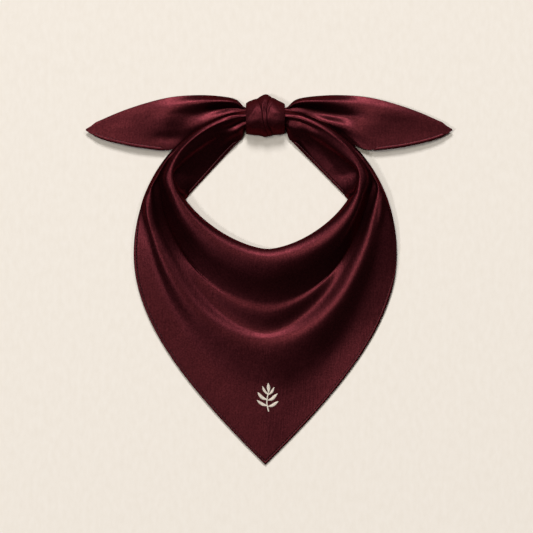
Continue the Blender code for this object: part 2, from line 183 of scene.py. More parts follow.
# Knot, a row for each section across it
KNOT_SECTIONS = (
    # x, low_y, high_y, height
    (-18.4, 115.0, 140.9, 17.4),
    (-12.5, 114.6, 143.1, 18.8),
    (-7.0, 114.2, 145.7, 19.2),
    (-2.6, 112.6, 147.3, 19.8),
    (2.0, 114.2, 145.6, 19.0),
    (7.2, 114.8, 142.4, 18.6),
    (12.6, 115.4, 140.3, 17.2),
)

# The arch over the knot: how square it is, where its ridge runs, how far and
# how evenly it falls to its lower and upper side, its foot, its wall, how deep
# each stretch is tucked at its sides, and how finely it is cut
KNOT_POWER = 3.2
KNOT_RIDGE = -0.05
KNOT_SLOPES = (0.27, 0.38)
KNOT_SLOPE_POWER = 1.2
KNOT_FOOT = 0.3
KNOT_WALL = 1.6
KNOT_TUCK = 0.8
KNOT_TUCK_POWER = 3
KNOT_TURNS = 97
KNOT_STEPS = 41

# The turns inside the knot: their span, how many folds and how deep, the gap to
# the wall, and how large they are at the rounded ends and how much more between
CORE_SPAN = (-17.8, 12.0)
CORE_RINGS = 25
CORE_FOLDS = (14, 0.03)
CORE_GAP = 0.2
CORE_SIZE = (0.72, 0.26)
CORE_POWER = 4

# The slanting strip's sides, at even places over the arch
STRIP_LEFT = (-9.6, -8.6, -5.6, -1.6, -0.8)
STRIP_RIGHT = (2.4, 0.4, -1.4, 2.0, 3.2)

# Small folds are pressed into the cloth. Each fades out at its ends.
CREASE_POINTS = 41
CREASE_ENDS = (0.02, 0.98)
CREASE_FADE = 0.7

# A fold whose height is below zero is a trough
CREASES = {
    # start, middle, end, width, height
    "drape": (
        ((-19.0, 130.8), (-27.0, 130.2), (-37.0, 127.6), 1.6, 0.9),
        ((-18.0, 132.2), (-25.0, 131.6), (-31.0, 130.6), 1.0, -0.8),
        ((-18.6, 127.2), (-27.0, 122.5), (-41.0, 117.0), 2.6, -2.0),
        ((-18.6, 124.0), (-29.0, 115.5), (-43.0, 105.0), 2.4, 0.6),
        ((13.0, 128.0), (25.0, 125.2), (41.0, 117.5), 2.2, -1.7),
        ((13.3, 124.8), (19.0, 121.0), (26.0, 118.0), 1.8, 0.4),
        ((16.5, 117.0), (24.0, 108.5), (36.0, 92.0), 1.8, 0.6),
        ((30.0, 112.0), (40.0, 104.0), (52.0, 90.0), 6.0, -1.2),
        ((-98.0, 64.0), (-97.5, 52.0), (-95.0, 38.0), 2.0, 0.8),
        ((89.5, 67.0), (89.5, 54.0), (87.0, 41.0), 2.0, 0.8),
        ((-78.0, 99.5), (-82.0, 95.0), (-86.0, 88.0), 1.6, 0.8),
        ((69.6, 103.6), (74.0, 98.0), (78.0, 90.0), 1.6, 0.8),
    ),
    "tail_left": (
        ((-22.0, 134.0), (-36.0, 135.5), (-54.0, 134.5), 3.4, -1.3),
        ((-62.0, 141.0), (-81.0, 131.0), (-52.0, 120.5), 6.5, 1.5),
        ((-22.0, 137.5), (-38.0, 141.5), (-56.0, 144.5), 2.6, 0.7),
        ((-112.0, 128.0), (-123.0, 126.8), (-136.0, 122.0), 6.0, -0.6),
        ((-68.0, 111.0), (-80.0, 112.0), (-92.0, 111.0), 4.5, -1.3),
    ),
    "tail_right": (
        ((14.0, 137.0), (22.0, 137.0), (31.0, 135.5), 2.6, -1.6),
        ((15.0, 132.5), (30.0, 137.5), (48.0, 142.0), 2.6, 1.0),
        ((24.0, 131.5), (45.0, 130.5), (76.0, 129.0), 4.0, -2.0),
        ((36.0, 127.0), (60.0, 121.0), (76.0, 111.0), 3.5, 1.0),
        ((48.0, 118.5), (56.0, 119.0), (66.0, 114.0), 3.0, -0.8),
        ((80.0, 136.0), (94.0, 134.0), (112.0, 129.0), 6.0, 0.8),
    ),
    "knot": (
        ((-2.8, 143.3), (-3.7, 135.5), (-2.4, 129.0), 0.8, -1.0),
        ((2.4, 140.6), (-0.6, 135.6), (-1.2, 130.0), 1.0, -1.0),
        ((-18.2, 126.5), (-13.6, 131.0), (-10.4, 137.2), 1.5, 0.7),
        ((12.6, 128.5), (7.0, 132.4), (1.2, 130.0), 2.2, 0.6),
        ((-16.5, 119.5), (-9.0, 122.4), (-3.6, 119.0), 1.5, -0.5),
        ((3.6, 119.0), (7.5, 121.0), (12.0, 119.6), 1.5, -0.4),
    ),
}

# Hems: a soft bead, thicker above the cloth's middle than below. Two powers
# round it over its width and height, and it is at its full height before it is
# at its full width. Front and neck hems aren't built below the least width.
HEM_WIDTH = 3.0
HEM_THICK = 2.7
HEM_UNDER = 1.2
HEM_SIDES = 14
HEM_ROUND = (0.7, 0.6)
HEM_FULL = 1.6
HEM_LEAST = 0.25

# Lines of sewing keep this far from an edge, or more
LEAST_INSET = 0.05

# The cloth is drawn back by this share of its hem's width, and less and less
# up to the reach. The column gives the way inwards from an edge.
HEM_CUT = 0.75
PULL_REACH = 30.0
INWARD_COLUMN = 30

# The hem of the lower front shows up to these rays and thins out before them
HEM_LAST_RAY = {"left": 84.0, "right": 66.0}
HEM_FADE = 20.0
HEM_SECTIONS = 280

# The bands' hems thin out over these rays at the front and at the knot
NECK_HEM_FADE = (3.0, 12.0)

# The tails' hems show between two distances from the middle, thin out at both,
# and aren't built where they are narrower than the least
TAIL_HEM_SPAN = (82.0, 142.0)
TAIL_HEM_FADE = 4.0
TAIL_HEM_LEAST = 0.6

# Stitches: how far in from the edge and at most, as a share of the hem, pitch,
# length, width, how proud, how high up the hem, and the least hem they need
STITCH = {"inset": 2.55, "most": 0.85, "pitch": 2.5, "long": 1.9, "wide": 0.42, "proud": 0.16,
          "rise": 0.82, "least": 0.7}

# A thread: places along it with its fullness there, and turns round it
THREAD_STATIONS = ((-0.5, 0.25), (-0.36, 0.85), (0.0, 1.0), (0.36, 0.85), (0.5, 0.25))
THREAD_TURNS = tuple(math.pi / 3 * side for side in range(6))

# A sprig of leaves in satin stitch: its place, the pitch, width, height and
# slant of its threads, how finely a stroke is drawn, how far its threads stay
# from its ends, how far ahead its way is read, the shortest thread, how high
# threads are at the ends of a leaf, and how round a leaf is
SPRIG_PLACE = (-0.8, -95.5)
SPRIG_PITCH = 0.36
SPRIG_THREAD = 0.46
SPRIG_PROUD = 0.55
SPRIG_SLANT = 0.45
SPRIG_POINTS = 60
SPRIG_ENDS = (0.3, 0.1)
SPRIG_AHEAD = 0.3
SPRIG_SHORTEST = 0.7
SPRIG_FULL = 0.6
LEAF_POWER = 0.8

# Strokes of the sprig, from its own middle
SPRIG = (
    # start, middle, end, width, shape
    ((0.5, -11.0), (-0.9, -3.5), (0.3, 4.6), 1.2, "stem"),
    ((0.3, 4.2), (0.5, 8.2), (0.2, 11.8), 3.3, "leaf"),
    ((-0.7, -1.5), (-4.4, 0.0), (-8.2, 4.6), 3.2, "leaf"),
    ((-0.4, -1.9), (3.4, -0.6), (7.6, 3.4), 3.2, "leaf"),
    ((-0.6, -6.4), (-4.2, -5.2), (-8.8, -1.8), 3.0, "leaf"),
    ((-0.2, -6.8), (3.8, -5.8), (8.4, -2.8), 3.0, "leaf"),
    ((-0.1, 2.6), (-2.6, 5.4), (-4.4, 9.4), 2.4, "leaf"),
    ((0.1, 2.4), (3.0, 4.8), (5.0, 8.6), 2.4, "leaf"),
)

# The cloth under the sprig: how many columns in from the rim, how many points
# near a place count, and the least distance they count with
PANEL_COLUMNS = 50
NEAR_POINTS = 6
NEAREST = 0.05

# Colours: each mottles from the first tone to the second
SATIN_TONES = ((0.040, 0.0064, 0.0088, 1.0), (0.074, 0.0132, 0.0165, 1.0))
# The knot's tones are a lighter copy of the satin's: painted light that makes the knot read
# brighter than the rest of the same cloth
KNOT_LIT_TONES = ((0.044, 0.0070, 0.0096, 1.0), (0.082, 0.0146, 0.0182, 1.0))
HEM_TONES = ((0.044, 0.0074, 0.0098, 1.0), (0.070, 0.0123, 0.0154, 1.0))
THREAD_TONES = ((0.035, 0.005, 0.007, 1.0), (0.060, 0.010, 0.013, 1.0))
CREAM_TONES = ((0.60, 0.52, 0.43, 1.0), (0.78, 0.71, 0.62, 1.0))
PAPER_TONES = ((0.765, 0.705, 0.628, 1.0), (0.793, 0.736, 0.663, 1.0))

# Satin shines like a metal, and in this colour where it is seen at a low angle
SATIN_METAL = 0.95
SATIN_EDGE = (0.35, 0.08, 0.1, 1.0)

# Roughness, how much the satin's varies, and how far the satin's highlights
# are drawn out along its folds
SATIN_ROUGH = 0.42
KNOT_ROUGH = 0.54
HEM_ROUGH = 0.43
THREAD_ROUGH = 0.45
CREAM_ROUGH = 0.4
PAPER_ROUGH = 0.9
ROUGH_SPREAD = 0.03
SATIN_STRETCH = 0.35

# Gloss of what isn't satin
THREAD_GLOSS = 0.4
PAPER_GLOSS = 0.15

# Textures: a squeeze below one draws a noise out along Y
NOISES = {
    # scale, detail, squeeze
    "clouds": (38.0, 3.0, 1.0),
    "mottle": (760.0, 3.0, 1.0),
    "slub": (700.0, 2.0, 0.16),
    "fibre": (1600.0, 2.0, 1.0),
    "grain": (260.0, 5.0, 0.45),
}
FLOATS = {"Scale": 780.0, "Distortion": 1.2, "Detail": 1.0}

# Bumps, with their heights in metres
BUMPS = {
    # strength, height
    "clouds": (0.35, 0.0012),
    "slub": (0.35, 0.00025),
    "floats": (0.12, 0.0001),
    "fibre": (0.4, 0.0001),
    "grain": (0.15, 0.0003),
}

# Colours and roughness run from end to end between these values of a texture
RAMP = (0.3, 0.7)

# Lights look at the middle of the scarf. Their places and diameters are in
# metres, and their power is in watts.
DAYLIGHT = (1.0, 1.0, 1.02)
LAMPLIGHT = (1.0, 0.96, 0.86)
LIGHTS = {
    # place, diameter, power, colour
    "key": ((-0.60, 8.10, 7.7), 3.0, 1010.0, DAYLIGHT),
    "left": ((-6.17, -1.09, 9.28), 2.0, 330.0, DAYLIGHT),
    "right": ((4.60, 5.10, 8.9), 2.0, 160.0, DAYLIGHT),
    "high": ((-2.70, 2.40, 10.6), 3.0, 300.0, LAMPLIGHT),
}
ROOM_COLOR = (1.0, 0.93, 0.78, 1.0)
ROOM_LIGHT = 0.03

# The floor's side in metres
FLOOR_SIDE = 6.0

# Camera: straight above, with a long lens. The frame is 533 pixels of 0.8 mm.
# The reach is in metres.
FRAME_WIDE = 426.4
CAMERA_HIGH = 3000.0
CAMERA_X = -2.0
CAMERA_Y = 9.6
SENSOR = 36.0
CAMERA_REACH = 20.0


def spline(knots, values, at):
    """Read a smooth curve through values, one for each knot."""
    knots = np.asarray(knots, dtype=float)
    values = np.asarray(values, dtype=float)
    at = np.clip(np.asarray(at, dtype=float), knots[0], knots[-1])
    span = np.diff(knots)
    shape = (-1,) + (1,) * (values.ndim - 1)
    rise = np.diff(values, axis=0) / span.reshape(shape)
    slope = np.concatenate([rise[:1], (rise[:-1] + rise[1:]) / 2, rise[-1:]])
    index = np.clip(np.searchsorted(knots, at, side="right") - 1, 0, len(span) - 1)
    width = span[index]
    part = (at - knots[index]) / width
    part = part.reshape(shape)
    width = width.reshape(shape)
    start = values[index] * (1 + 2 * part) * (1 - part) ** 2
    start = start + slope[index] * width * part * (1 - part) ** 2
    end = values[index + 1] * part ** 2 * (3 - 2 * part)
    return start + end + slope[index + 1] * width * part ** 2 * (part - 1)


def smooth_step(share):
    """A share from 0 to 1 that starts and ends gently."""
    share = np.clip(share, 0.0, 1.0)
    return share * share * (3 - 2 * share)


def signed_power(value, power):
    """A power of a value that keeps its sign."""
    return np.sign(value) * np.abs(value) ** power


def bezier(points, count):
    """Points along one cubic arc."""
    part = np.linspace(0.0, 1.0, count).reshape(-1, 1)
    first, second, third, fourth = (np.array(point) for point in points)
    return (first * (1 - part) ** 3 + 3 * second * part * (1 - part) ** 2
            + 3 * third * part ** 2 * (1 - part) + fourth * part ** 3)


def curve(start, middle, end, count):
    """Points along a smooth curve through three others."""
    return spline((0.0, 1.0, 2.0), (start, middle, end), np.linspace(0.0, 2.0, count))


def run_length(line):
    """Distance along a line of points to each of them."""
    return np.concatenate([[0.0], np.cumsum(np.linalg.norm(np.diff(line, axis=0), axis=1))])


def egg(half, wide_y, low_y, high_y, low_power, high_power):
    """Half an egg round the neck, from its lowest point to its highest."""
    turn = np.linspace(0.0, math.pi / 2, EGG_POINTS)
    low_x = half * np.sin(turn) ** (2 / low_power)
    low = wide_y - (wide_y - low_y) * np.cos(turn) ** (2 / low_power)
    high_x = half * np.cos(turn) ** (2 / high_power)
    high = wide_y + (high_y - wide_y) * np.sin(turn) ** (2 / high_power)
    x = np.concatenate([low_x, high_x[1:]])
    y = np.concatenate([low, high[1:]])
    return np.stack([x, y], axis=1)


def ray_radius(points, rays):
    """Distance from the middle of the neck opening to a line, along each ray."""
    ray = np.degrees(np.arctan2(points[:, 0], EYE_Y - points[:, 1]))
    radius = np.hypot(points[:, 0], EYE_Y - points[:, 1])
    order = np.argsort(ray)
    return np.interp(rays, ray[order], radius[order])


def line_radii(rays):
    """Radius of the fold lines along each ray, kept apart and in order."""
    radii = {name: ray_radius(egg(*row), rays) for name, row in FOLDS.items()}
    rim = np.concatenate([bezier(RIM_LOW, RIM_POINTS), bezier(RIM_HIGH, RIM_POINTS)[1:]])
    radii["rim"] = ray_radius(rim, rays)
    for name, (inner, outer, share) in BETWEEN.items():
        radii[name] = radii[inner] + share * (radii[outer] - radii[inner])
    outwards = LINES[LINES.index("edge"):]
    for name, outer in reversed(list(zip(outwards, outwards[1:]))):
        radii[name] = np.minimum(radii[name], radii[outer] - LINE_SPACE)
    gathered = smooth_step((rays - GATHER[0]) / (GATHER[1] - GATHER[0]))
    for name, share in GATHER_SHARES.items():
        close = radii["crest"] + (radii["rim"] - radii["crest"]) * share
        radii[name] = radii[name] + (close - radii[name]) * gathered
    return radii


def line_heights(rays):
    """Height of every fold line along each ray."""
    mirrored = [-ray for ray in reversed(RAYS[1:])] + list(RAYS)
    heights = {}
    for name, row in HEIGHTS.items():
        full = list(reversed(row[1:])) + list(row)
        heights[name] = spline(mirrored, full, rays)
    return heights


def axis_at(y):
    """The scarf's middle line, a little further left by the knot."""
    low, high = AXIS_BLEND
    share = np.clip((y - low) / (high - low), 0.0, 1.0)
    return AXIS_FRONT + (AXIS_KNOT - AXIS_FRONT) * share


def step_places(steps):
    """Places between lines, as line numbers with their fractions."""
    places = np.concatenate([np.arange(count) / count + start
                             for start, count in enumerate(steps)])
    return np.append(places, len(steps))


def across(values, steps):
    """Read the lines of a section at each step between them."""
    return spline(np.arange(len(steps) + 1), values, step_places(steps))


def fold_grid(rays):
    """The middle of the cloth along each ray, from the neck edge to the rim."""
    radii = line_radii(np.abs(rays))
    heights = line_heights(rays)
    level = 1 - smooth_step((np.abs(rays) - LEAN_END[0]) / (LEAN_END[1] - LEAN_END[0]))
    for name, lean in LEAN.items():
        radii[name] = radii[name] + lean * np.sin(np.radians(rays)) * level
    radius = across(np.array([radii[name] for name in LINES]), DRAPE_STEPS).T
    height = across(np.array([heights[name] for name in LINES]), DRAPE_STEPS).T
    turn = np.radians(rays).reshape(-1, 1)
    y = EYE_Y - radius * np.cos(turn)
    rim_share = np.linspace(0.0, 1.0, radius.shape[1]) ** 2
    axis = axis_at(y) * (1 - rim_share) + AXIS_KNOT * rim_share
    return np.stack([radius * np.sin(turn) + axis, y, height], axis=2)


def root_rows(side):
    """The gathered end of a band, at the mouth of the knot and inside it."""
    rows = across(np.array([ROOT[name] for name in LINES]), DRAPE_STEPS)
    ends = []
    for half in (MOUTH_HALF, ROOT_HALF):
        place = np.full((len(rows), 1), AXIS_KNOT + side * half)
        ends.append(np.concatenate([place, rows], axis=1))
    return ends


def drape_grid():
    """The whole drape, from the left end of the knot round to the right."""
    rays = np.linspace(-BAND_END, BAND_END, DRAPE_SECTIONS)
    grid = fold_grid(rays)
    knots = np.array([-1.0, 0.0, 1.0, 2.0])
    at = np.linspace(0.0, 2.0, ROOT_SECTIONS + 1)[1:]
    left = np.stack([grid[ROOT_LEAD], grid[0], *root_rows(-1.0)])
    right = np.stack([grid[-1 - ROOT_LEAD], grid[-1], *root_rows(1.0)])
    left_end = spline(knots, left, at)[::-1]
    right_end = spline(knots, right, at)
    rays = np.concatenate([np.full(len(at), -BAND_END), rays, np.full(len(at), BAND_END)])
    return np.concatenate([left_end, grid, right_end]), rays


def tail_grid(side):
    """One tail, from its root in the knot to its tip."""
    rows = across(TAIL_SECTIONS, TAIL_ALONG)
    count = len(rows)
    column = {name: rows[:, place] for place, name in enumerate(TAIL_COLUMNS)}
    heights = np.stack([column["z_low"], column["z_back"], column["z_pocket"],
                        column["z_ridge"], column["z_high"]])
    shares = np.repeat(np.array(TAIL_SHARES).reshape(-1, 1), count, axis=1)
    height = across(heights, TAIL_STEPS).T
    share = across(shares, TAIL_STEPS).T
    low = column["low_y"].reshape(-1, 1)
    high = column["high_y"].reshape(-1, 1)
    half = np.repeat(column["half"].reshape(-1, 1), share.shape[1], axis=1)
    axis = AXIS_KNOT * np.clip(1 - (half - ROOT_HALF) / (TAIL_AXIS_END - ROOT_HALF), 0, 1)
    return np.stack([side * half + axis, low + share * (high - low), height], axis=2)


def knot_section(x):
    """Lower row, upper row and height of the knot at a place across it."""
    table = np.array(KNOT_SECTIONS)
    rows = spline(table[:, 0], table[:, 1:], np.atleast_1d(x))
    return rows[:, 0], rows[:, 1], rows[:, 2]


def knot_arch(x, turns, inset):
    """Points of the knot's arch, a little way below its outer surface."""
    low, high, height = knot_section(x)
    half = (high - low) / 2 - inset
    cosine = np.cos(turns)
    y = (low + high) / 2 + half * signed_power(cosine, 2 / KNOT_POWER)
    before, beyond = (np.clip(side * (KNOT_RIDGE - cosine), 0, 2) for side in (-1, 1))
    fall = KNOT_SLOPES[0] * (before / (1 - KNOT_RIDGE)) ** KNOT_SLOPE_POWER
    fall = fall + KNOT_SLOPES[1] * (beyond / (1 + KNOT_RIDGE)) ** KNOT_SLOPE_POWER
    rise = (height - KNOT_FOOT) * (1 - fall) - inset
    z = KNOT_FOOT + rise * np.abs(np.sin(turns)) ** (2 / KNOT_POWER)
    return np.stack([x, y, z], axis=1)


def press(grid, creases):
    """Press small folds into a grid of points, by their plan distance."""
    pressed = grid.copy()
    for start, middle, end, width, height in creases:
        line = curve(start, middle, end, CREASE_POINTS)
        away = np.linalg.norm(grid[:, :, None, :2] - line, axis=3)
        share = away.argmin(axis=2) / (CREASE_POINTS - 1)
        fade = np.sin(math.pi * np.clip(share, *CREASE_ENDS)) ** CREASE_FADE
        shape = np.exp(-(away.min(axis=2) / width) ** 2)
        pressed[:, :, 2] += height * fade * shape
    return pressed


def hem_width(rays):
    """Width of the front hem along each ray, thinning out at both ends."""
    last = np.where(rays < 0, HEM_LAST_RAY["left"], HEM_LAST_RAY["right"])
    return HEM_WIDTH * smooth_step((last - np.abs(rays)) / HEM_FADE)


def neck_hem_width(rays):
    """Width of the bands' hems along each ray, thinning out at both ends."""
    width = HEM_WIDTH * smooth_step((np.abs(rays) - BAND_START) / NECK_HEM_FADE[0])
    return width * smooth_step((BAND_END - np.abs(rays)) / NECK_HEM_FADE[1])


def tail_hem_width(grid, side):
    """Width of the hem on a tail's lower edge at each of its sections."""
    half = side * grid[:, 0, 0]
    first, last = TAIL_HEM_SPAN
    return HEM_WIDTH * np.clip(np.minimum(half - first, last - half) / TAIL_HEM_FADE, 0.0, 1.0)


def soften(grid, along, over):
    """Even out the heights of a grid, along it and over it, in small steps."""
    height = grid[:, :, 2].copy()
    for _ in range(along):
        height[1:-1] = (height[:-2] + 2 * height[1:-1] + height[2:]) / 4
    for _ in range(over):
        height[:, 1:-1] = (height[:, :-2] + 2 * height[:, 1:-1] + height[:, 2:]) / 4
    soft = grid.copy()
    soft[:, :, 2] = height
    return soft


def way_inwards(grid):
    """Level unit vectors from the first column of a grid into the cloth."""
    inward = grid[:, INWARD_COLUMN] - grid[:, 0]
    inward[:, 2] = 0.0
    return inward / np.linalg.norm(inward, axis=1, keepdims=True)


def from_edge(grid):
    """Distance over the cloth from the first column of a grid to each point."""
    lengths = np.linalg.norm(np.diff(grid, axis=1), axis=2)
    return np.concatenate([np.zeros((len(grid), 1)), np.cumsum(lengths, axis=1)], axis=1)


def pull_in(grid, amount):
    """Move the first column of a grid inwards, and the cloth near it less."""
    share = np.clip(1 - from_edge(grid) / PULL_REACH, 0.0, 1.0) ** 2
    return grid + way_inwards(grid)[:, None] * (share * amount.reshape(-1, 1))[:, :, None]


def grid_normals(grid):
    """Normals of a grid of points."""
    along = np.gradient(grid, axis=0)
    over = np.gradient(grid, axis=1)
    normal = np.cross(over, along)
    return normal / np.linalg.norm(normal, axis=2, keepdims=True)


def quads(*corners):
    """Faces with four corners each, from four grids of point numbers."""
    return np.stack([corner.ravel() for corner in corners], axis=1)


def skin_faces(rows, columns):
    """Faces of a closed wall: one side, the other side and the four edges."""
    top = np.arange(rows * columns).reshape(rows, columns)
    under = top + rows * columns
    faces = np.concatenate([
        quads(top[:-1, :-1], top[:-1, 1:], top[1:, 1:], top[1:, :-1]),
        quads(under[:-1, :-1], under[1:, :-1], under[1:, 1:], under[:-1, 1:]),
        quads(top[:-1, 0], top[1:, 0], under[1:, 0], under[:-1, 0]),
        quads(top[1:, -1], top[:-1, -1], under[:-1, -1], under[1:, -1]),
        quads(top[0, 1:], top[0, :-1], under[0, :-1], under[0, 1:]),
        quads(top[-1, :-1], top[-1, 1:], under[-1, 1:], under[-1, :-1]),
    ])
    return faces.tolist()


def make_object(name, verts, faces, material):
    """A smooth mesh object from points in millimetres."""
    mesh = bpy.data.meshes.new(name)
    mesh.from_pydata((np.asarray(verts) * MM).tolist(), [], [tuple(face) for face in faces])
    mesh.materials.append(material)
    mesh.shade_smooth()
    made = bpy.data.objects.new(name, mesh)
    bpy.context.scene.collection.objects.link(made)
    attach(made, "root")
    return made


def two_sided(name, outer, inner, material):
    """A closed wall between two grids of points, with the grid as its UVs."""
    rows, columns = outer.shape[:2]
    verts = np.concatenate([outer.reshape(-1, 3), inner.reshape(-1, 3)])
    faces = skin_faces(rows, columns)
    centre = (outer + inner) / 2
    up = np.cross(outer[1, 0] - outer[0, 0], outer[0, 1] - outer[0, 0])
    if np.dot(up, (outer - centre)[0, 0]) > 0:
        faces = [face[::-1] for face in faces]
    made = make_object(name, verts, faces, material)
    along = run_length(centre[:, columns // 2])
    over = run_length(centre[rows // 2])
    place = np.stack(np.meshgrid(along, over, indexing="ij"), axis=2).reshape(-1, 2)
    place = np.concatenate([place, place]) * MM
    layer = made.data.uv_layers.new(name="cloth")
    loops = np.empty(len(made.data.loops), dtype=np.int32)
    made.data.loops.foreach_get("vertex_index", loops)
    layer.data.foreach_set("uv", place[loops].ravel())
    return made


def cloth_wall(name, grid, material):
    """A wall of cloth round its middle surface, flat where it meets the floor."""
    offset = grid_normals(grid) * (CLOTH_THICK / 2)
    outer = grid + offset
    inner = grid - offset
    for side in (outer, inner):
        height = side[:, :, 2]
        height[height < LOWEST_GAP] = 0.0
    return two_sided(name, outer, inner, material)


def surface_line(grid, inset):
    """Points of a grid at a distance in from its first column."""
    away = from_edge(grid)
    inset = np.maximum(inset, LEAST_INSET)
    return np.array([[np.interp(inset[row], away[row], grid[row, :, axis]) for axis in range(3)]
                     for row in range(len(grid))])


def hem_piece(name, grid, width, material, hem_nodes):
    """A turned hem: a soft bead along the first column of a grid."""
    outer = grid[:, 0]
    inner = surface_line(grid, width)
    fullness = np.minimum(width / HEM_WIDTH * HEM_FULL, 1.0)
    sides = []
    for turn in np.linspace(0.0, 2 * math.pi, HEM_SIDES, endpoint=False):
        over = signed_power(np.cos(turn), HEM_ROUND[0])
        rise = signed_power(np.sin(turn), HEM_ROUND[1])
        point = outer + (inner - outer) * (1 + over) / 2
        thick = HEM_THICK if rise > 0 else HEM_UNDER
        point[:, 2] = np.maximum(point[:, 2] + thick / 2 * rise * fullness, 0.0)
        sides.append(point)
    piece = ringed(name, np.stack(sides, axis=1), material)
    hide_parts(*hem_nodes)
    return piece


def ringed(name, rings, material):
    """A closed piece skinned over rings, with flat ends."""
    count, sides = rings.shape[:2]
    index = np.arange(count * sides).reshape(count, sides)
    ahead = np.roll(index, -1, axis=1)
    faces = quads(index[:-1], ahead[:-1], ahead[1:], index[1:]).tolist()
    faces.append(index[0, ::-1].tolist())
    faces.append(index[-1].tolist())
    piece = make_object(name, rings.reshape(-1, 3), faces, material)
    fix_normals(piece)
    return piece


def fix_normals(piece):
    """Turn every face of a closed piece outwards."""
    shape = bmesh.new()
    shape.from_mesh(piece.data)
    bmesh.ops.recalc_face_normals(shape, faces=shape.faces)
    shape.to_mesh(piece.data)
    shape.free()


def thread_bead(verts, faces, centre, heading, sideways, long, wide, proud):
    """Add one short raised thread to a list of points and faces."""
    base = len(verts)
    for place, fullness in THREAD_STATIONS:
        for turn in THREAD_TURNS:
            across_thread = sideways * math.cos(turn) * wide / 2 * fullness
            lift = (0.0, 0.0, math.sin(turn) * proud * fullness)
            verts.append(centre + heading * place * long + across_thread + lift)
    sides = len(THREAD_TURNS)
    for ring in range(len(THREAD_STATIONS) - 1):
        for side in range(sides):
            first = base + ring * sides + side
            second = base + ring * sides + (side + 1) % sides
            faces.append((first, second, second + sides, first + sides))
    last = base + (len(THREAD_STATIONS) - 1) * sides
    faces.append(tuple(base + side for side in reversed(range(sides))))
    faces.append(tuple(last + side for side in range(sides)))


def stitch_row(name, grid, width, material):
    """A row of short raised stitches just inside a hem's inner side."""
    line = surface_line(grid, np.minimum(STITCH["inset"], width * STITCH["most"]))
    along = run_length(line)
    verts = []
    faces = []
    for middle in np.arange(STITCH["pitch"] / 2, along[-1] - STITCH["pitch"], STITCH["pitch"]):
        if np.interp(middle, along, width) < HEM_WIDTH * STITCH["least"]:
            continue
        ends = [np.array([np.interp(middle + side * STITCH["long"] / 2, along, line[:, axis])
                          for axis in range(3)]) for side in (-1, 1)]
        heading = ends[1] - ends[0]
        heading = heading / np.linalg.norm(heading)
        sideways = np.cross((0.0, 0.0, 1.0), heading)
        centre = (ends[0] + ends[1]) / 2
        centre[2] += HEM_THICK / 2 * STITCH["rise"]
        thread_bead(verts, faces, centre, heading, sideways, STITCH["long"], STITCH["wide"],
                    STITCH["proud"])
    piece = make_object(name, verts, faces, material)
    fix_normals(piece)
    return piece


def height_at(grid, x, y):
    """Height of the cloth's middle at a place on the flat point."""
    panel = grid[:, -PANEL_COLUMNS:].reshape(-1, 3)
    away = np.hypot(panel[:, 0] - x, panel[:, 1] - y)
    near = np.argsort(away)[:NEAR_POINTS]
    weight = 1 / (away[near] + NEAREST)
    return float(np.sum(panel[near, 2] * weight) / np.sum(weight))


def sprig(grid, material):
    """A small sprig of leaves in satin stitch, near the point."""
    verts = []
    faces = []
    for start, middle, end, widest, shape in SPRIG:
        line = curve(start, middle, end, SPRIG_POINTS)
        along = run_length(line)
        for place in np.arange(SPRIG_ENDS[0], along[-1] - SPRIG_ENDS[1], SPRIG_PITCH):
            x, y = (np.interp(place, along, line[:, axis]) for axis in range(2))
            ahead = [np.interp(place + SPRIG_AHEAD, along, line[:, axis]) for axis in range(2)]
            heading = np.array([ahead[0] - x, ahead[1] - y, 0.0])
            heading = heading / np.linalg.norm(heading)
            leaf = max(math.sin(math.pi * place / along[-1]), 0.0) ** LEAF_POWER
            long = widest * (leaf if shape == "leaf" else 1.0)
            sideways = np.array([-heading[1], heading[0], 0.0])
            slant = sideways * math.cos(SPRIG_SLANT) + heading * math.sin(SPRIG_SLANT)
            centre = np.array([x + SPRIG_PLACE[0], y + SPRIG_PLACE[1], 0.0])
            centre[2] = height_at(grid, centre[0], centre[1]) + CLOTH_THICK / 2
            thread_bead(verts, faces, centre, slant, np.cross((0.0, 0.0, 1.0), slant),
                        max(long, SPRIG_SHORTEST), SPRIG_THREAD,
                        SPRIG_PROUD * (SPRIG_FULL + (1 - SPRIG_FULL) * leaf))
    piece = make_object("sprig_embroidery", verts, faces, material)
    fix_normals(piece)
    return piece


def link_noise(tree, source, scale, detail, squeeze):
    """A noise texture, drawn out along Y where squeeze is below one."""
    mapping = tree.nodes.new("ShaderNodeMapping")
    mapping.inputs["Scale"].default_value = (1.0, squeeze, 1.0)
    noise = tree.nodes.new("ShaderNodeTexNoise")
    noise.inputs["Scale"].default_value = scale
    noise.inputs["Detail"].default_value = detail
    tree.links.new(source, mapping.inputs["Vector"])
    tree.links.new(mapping.outputs["Vector"], noise.inputs["Vector"])
    return noise.outputs["Fac"]


def link_bump(tree, height, strength, distance, below=None):
    """A bump from a height, over another bump where there is one."""
    bump = tree.nodes.new("ShaderNodeBump")
    bump.inputs["Strength"].default_value = strength
    bump.inputs["Distance"].default_value = distance
    tree.links.new(height, bump.inputs["Height"])
    if below:
        tree.links.new(below, bump.inputs["Normal"])
    return bump.outputs["Normal"]


def link_ramp(tree, source, tones):
    """A colour that runs from tone to tone over the middle of a texture."""
    ramp = tree.nodes.new("ShaderNodeValToRGB")
    for element, position, tone in zip(ramp.color_ramp.elements, RAMP, tones):
        element.position = position
        element.color = tone
    tree.links.new(source, ramp.inputs["Fac"])
    return ramp.outputs["Color"]


def link_range(tree, source, low, high):
    """A value that runs from low to high over the middle of a texture."""
    span = tree.nodes.new("ShaderNodeMapRange")
    span.inputs["From Min"].default_value = RAMP[0]
    span.inputs["From Max"].default_value = RAMP[1]
    span.inputs["To Min"].default_value = low
    span.inputs["To Max"].default_value = high
    tree.links.new(source, span.inputs["Value"])
    return span.outputs["Result"]


